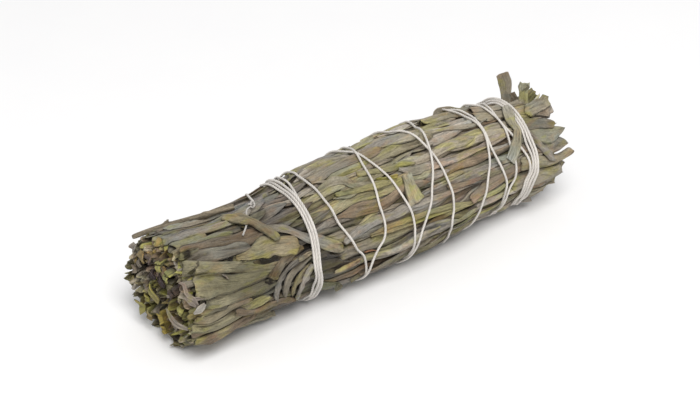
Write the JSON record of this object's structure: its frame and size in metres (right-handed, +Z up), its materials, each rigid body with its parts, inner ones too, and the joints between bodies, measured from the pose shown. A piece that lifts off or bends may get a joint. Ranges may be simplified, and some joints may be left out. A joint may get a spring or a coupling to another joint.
{
  "type": "smudge stick",
  "caption": "Small bundle of dried grey-green herb leaves bound lengthwise with criss-crossed cotton thread, lying on its side.",
  "frame": {"origin": "on the table, below the middle of the bundle", "axes": "+X along the bundle from its cut end towards its leaf tips, +Z up, and -Y the front"},
  "size_m": [0.099, 0.0286, 0.0306],
  "materials": {
    "grey_leaf": "matt dried leaf, grey-green with wrinkles and veins",
    "olive_leaf": "matt dried leaf, olive to yellow-brown",
    "sprig": "matt crushed dried leaf in shade",
    "stem": "matt dry woody stem",
    "thread": "undyed twisted cotton"
  },
  "bodies": {
    "root": {"woody_stem_1": "stem", "woody_stem_2": "stem", "woody_stem_3": "stem", "woody_stem_4": "stem", "woody_stem_5": "stem", "woody_stem_6": "stem", "woody_stem_7": "stem", "inner_sprig_1": "sprig", "inner_sprig_2": "sprig", "inner_sprig_3": "sprig", "inner_sprig_4": "sprig", "inner_sprig_5": "sprig", "inner_sprig_6": "sprig", "inner_sprig_7": "sprig", "inner_sprig_8": "sprig", "near_leaf_1": "grey_leaf", "far_leaf_1": "grey_leaf", "near_leaf_2": "grey_leaf", "far_leaf_2": "grey_leaf", "near_leaf_3": "grey_leaf", "far_leaf_3": "grey_leaf", "near_leaf_4": "olive_leaf", "far_leaf_4": "olive_leaf", "near_leaf_5": "olive_leaf", "far_leaf_5": "olive_leaf", "near_leaf_6": "grey_leaf", "far_leaf_6": "grey_leaf", "near_leaf_7": "grey_leaf", "far_leaf_7": "grey_leaf", "near_leaf_8": "grey_leaf", "far_leaf_8": "grey_leaf", "near_leaf_9": "grey_leaf", "far_leaf_9": "grey_leaf", "near_leaf_10": "grey_leaf", "far_leaf_10": "grey_leaf", "near_leaf_11": "grey_leaf", "far_leaf_11": "grey_leaf", "near_leaf_12": "olive_leaf", "far_leaf_12": "olive_leaf", "near_leaf_13": "grey_leaf", "far_leaf_13": "grey_leaf", "near_leaf_14": "grey_leaf", "far_leaf_14": "grey_leaf", "near_leaf_15": "grey_leaf", "far_leaf_15": "grey_leaf", "near_leaf_16": "grey_leaf", "far_leaf_16": "grey_leaf", "crossing_leaf": "grey_leaf", "broad_leaf": "grey_leaf", "leaf_chip": "grey_leaf", "standing_leaf": "grey_leaf", "folded_leaf": "grey_leaf", "forked_leaf": "olive_leaf", "loose_twig": "stem", "binding_thread": "thread", "thread_knot": "thread", "thread_tail": "thread"}
  },
  "joints": []
}
